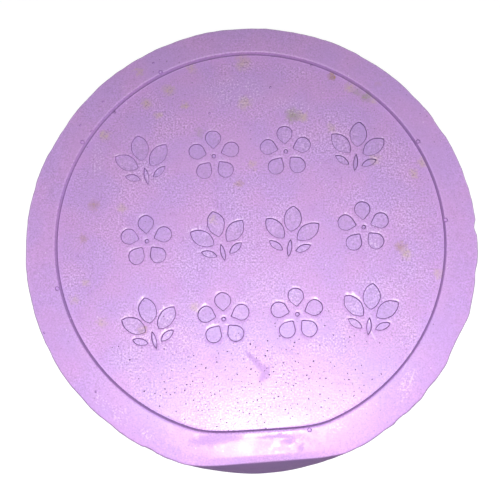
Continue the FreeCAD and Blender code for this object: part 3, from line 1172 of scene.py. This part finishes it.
        # Roughness: clouded by handling, lost gloss on the steep walls.
        low, high = self.roughness - 0.05, self.roughness + 0.06
        rough = add("MapRange", (swell, 0.3, 0.7, low, high))
        duller = add("MapRange", (on_field, 0.0, 1.0, 0.08, 0.0))
        rough = add("Math", (rough, duller), operation="ADD")
        clouded = add("MapRange", (dimples, 0.45, 0.55, 0.0, 0.1))
        clouded = add("Math", (clouded, kneaded), operation="MULTIPLY")
        rough = add("Math", (rough, clouded), operation="ADD")
        rough = add("Math", (wiped, 0.3, rough), operation="MULTIPLY_ADD")
        dull = add("Math", (steep, 0.75), operation="MULTIPLY")
        sockets = {
            "Base Color": colour,
            "Roughness": add("Math", (rough, dull), operation="MAXIMUM"),
            "IOR": self.ior,
            "Specular IOR Level": add("MapRange", (steep, 0.0, 1.0, 0.5, 0.12)),
            "Subsurface Weight": 0.1,
            "Subsurface Radius": (1.0, 0.7, 1.0),
            "Subsurface Scale": 0.4 * MM,
        }
        shader = add("BsdfPrincipled", sockets | relief)
        add("OutputMaterial", {"Surface": shader})
        return material


# ---------------- studio


@dataclass(frozen=True)
class Studio:
    """Plain floor, soft light and the camera, in millimetres unless a name says otherwise."""

    floor_size: float = 4000.0
    floor_colour: str = "#707070"
    floor_glow: float = 0.94
    key_place: Triple = (5.0, -64.0, 265.0)
    key_aim: Triple = (7.0, -56.0, 25.0)
    key_size: Pair = (36.0, 46.0)
    key_spread: float = radians(64)
    key_power: float = 0.095
    fill_reach: float = 300.0
    fill_height: float = 32.0
    fill_size: Pair = (300.0, 50.0)
    # Powers of the low lamps round the puck, counter-clockwise from +X.
    fill_powers: tuple[float, ...] = (0.35, 0.14, 0.35, 0.04)
    world_level: float = 0.12
    camera_reach: float = 175.0
    camera_tilt: float = radians(9.9)
    camera_turn: float = radians(4.5)
    camera_aim: Triple = (-0.13, -1.27, 25.0)
    nearest: float = 10.0
    lens: float = 76.4
    sensor: float = 36.0

    @staticmethod
    def facing(place: Vector, aim: Vector) -> Matrix:
        """Aim a lamp or camera, with +Y or +Z up in its picture.

        Args:
            place: where it stands, in metres.
            aim: what it looks at, in metres.

        Returns:
            Its matrix.
        """
        back = (place - aim).normalized()
        upright = Vector((0, 1, 0)) if abs(back.z) > 0.5 else Vector((0, 0, 1))
        right = upright.cross(back).normalized()
        up = back.cross(right)
        return Matrix.Translation(place) @ Matrix((right, up, back)).transposed().to_4x4()

    @staticmethod
    def seen_directly(add: AddNode) -> Socket:
        """1 for rays from the camera, also by reflection or through glass, and 0 for light on things."""
        path = add("LightPath", output="Is Camera Ray")
        seen = path
        for kind in ("Is Glossy Ray", "Is Transmission Ray"):
            seen = add("Math", (seen, path.node.outputs[kind]), operation="MAXIMUM")
        return seen

    def floor(self) -> None:
        """Lay the floor: white to the camera, with the puck's shadow left on it."""
        deselect_all()
        bpy.ops.mesh.primitive_plane_add(size=self.floor_size * MM)
        floor = bpy.context.object
        floor.name = floor.data.name = "studio_floor"
        material = bpy.data.materials.new("matt_white_board")
        add = start_nodes(material)
        seen = self.seen_directly(add)
        matt = add("BsdfDiffuse", {"Color": srgb(self.floor_colour)})
        white = add("Emission", {"Color": srgb("#ffffff"), "Strength": self.floor_glow})
        both = add("AddShader", (matt, white))
        mixed = add("MixShader", (seen, matt, both))
        add("OutputMaterial", {"Surface": mixed})
        floor.data.materials.append(material)

    def lamp(
        self, name: str, place: Vector, aim: Vector, shape: str, size: Vector, power: float
    ) -> Piece:
        """Hang a soft lamp that the camera doesn't see.

        Args:
            name: name of the object.
            place: where it hangs, in metres.
            aim: what it shines at, in metres.
            shape: RECTANGLE or ELLIPSE.
            size: its width and height, in metres.
            power: its power, in watts.

        Returns:
            The lamp.
        """
        deselect_all()
        bpy.ops.object.light_add(type="AREA")
        lamp = bpy.context.object
        lamp.name = name
        lamp.data.shape = shape
        lamp.data.size, lamp.data.size_y = size
        lamp.data.energy = power
        lamp.matrix_world = self.facing(place, aim)
        lamp.visible_camera = False
        return lamp

    def light(self) -> None:
        """Hang the key lamp by the lens and low lamps round the side wall, and set the world."""
        key = self.lamp(
            "key_lamp", mm(*self.key_place), mm(*self.key_aim), "ELLIPSE", mm(*self.key_size), self.key_power
        )
        key.data.spread = self.key_spread
        aim = mm(0, 0, SECTION.height / 2)
        for number, power in enumerate(self.fill_powers):
            angle = tau * number / len(self.fill_powers)
            place = mm(self.fill_reach * cos(angle), self.fill_reach * sin(angle), self.fill_height)
            self.lamp(f"fill_lamp_{number}", place, aim, "RECTANGLE", mm(*self.fill_size), power)

        world = bpy.data.worlds.new("studio_air")
        add = start_nodes(world)
        seen = self.seen_directly(add)
        level = add("MapRange", {"Value": seen, "To Min": self.world_level, "To Max": 1.0})
        air = add("Background", {"Color": srgb("#ffffff"), "Strength": level})
        add("OutputWorld", {"Surface": air})
        bpy.context.scene.world = world

    def shoot(self) -> None:
        """Set the camera up over the puck."""
        deselect_all()
        bpy.ops.object.camera_add()
        camera = bpy.context.object
        camera.name = "studio_camera"
        camera.data.lens = self.lens
        camera.data.sensor_width = self.sensor
        camera.data.clip_start = self.nearest * MM
        across = sin(self.camera_tilt)
        place = Vector((
            self.camera_reach * across * sin(self.camera_turn),
            -self.camera_reach * across * cos(self.camera_turn),
            SECTION.height + self.camera_reach * cos(self.camera_tilt),
        ))
        camera.matrix_world = self.facing(place * MM, mm(*self.camera_aim))
        bpy.context.scene.camera = camera
        bpy.context.scene.view_settings.view_transform = "Standard"


def main() -> None:
    """Build the puck and the studio round it."""
    logging.basicConfig(level=logging.INFO, format="%(name)s: %(message)s")
    puck = SoapPuck().build(CastSoap())
    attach(puck, "root")
    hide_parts("soap_puck")
    LOG.info("%s: %d faces", puck.name, len(puck.data.polygons))
    studio = Studio()
    studio.floor()
    studio.light()
    studio.shoot()


if __name__ == "__main__":
    main()
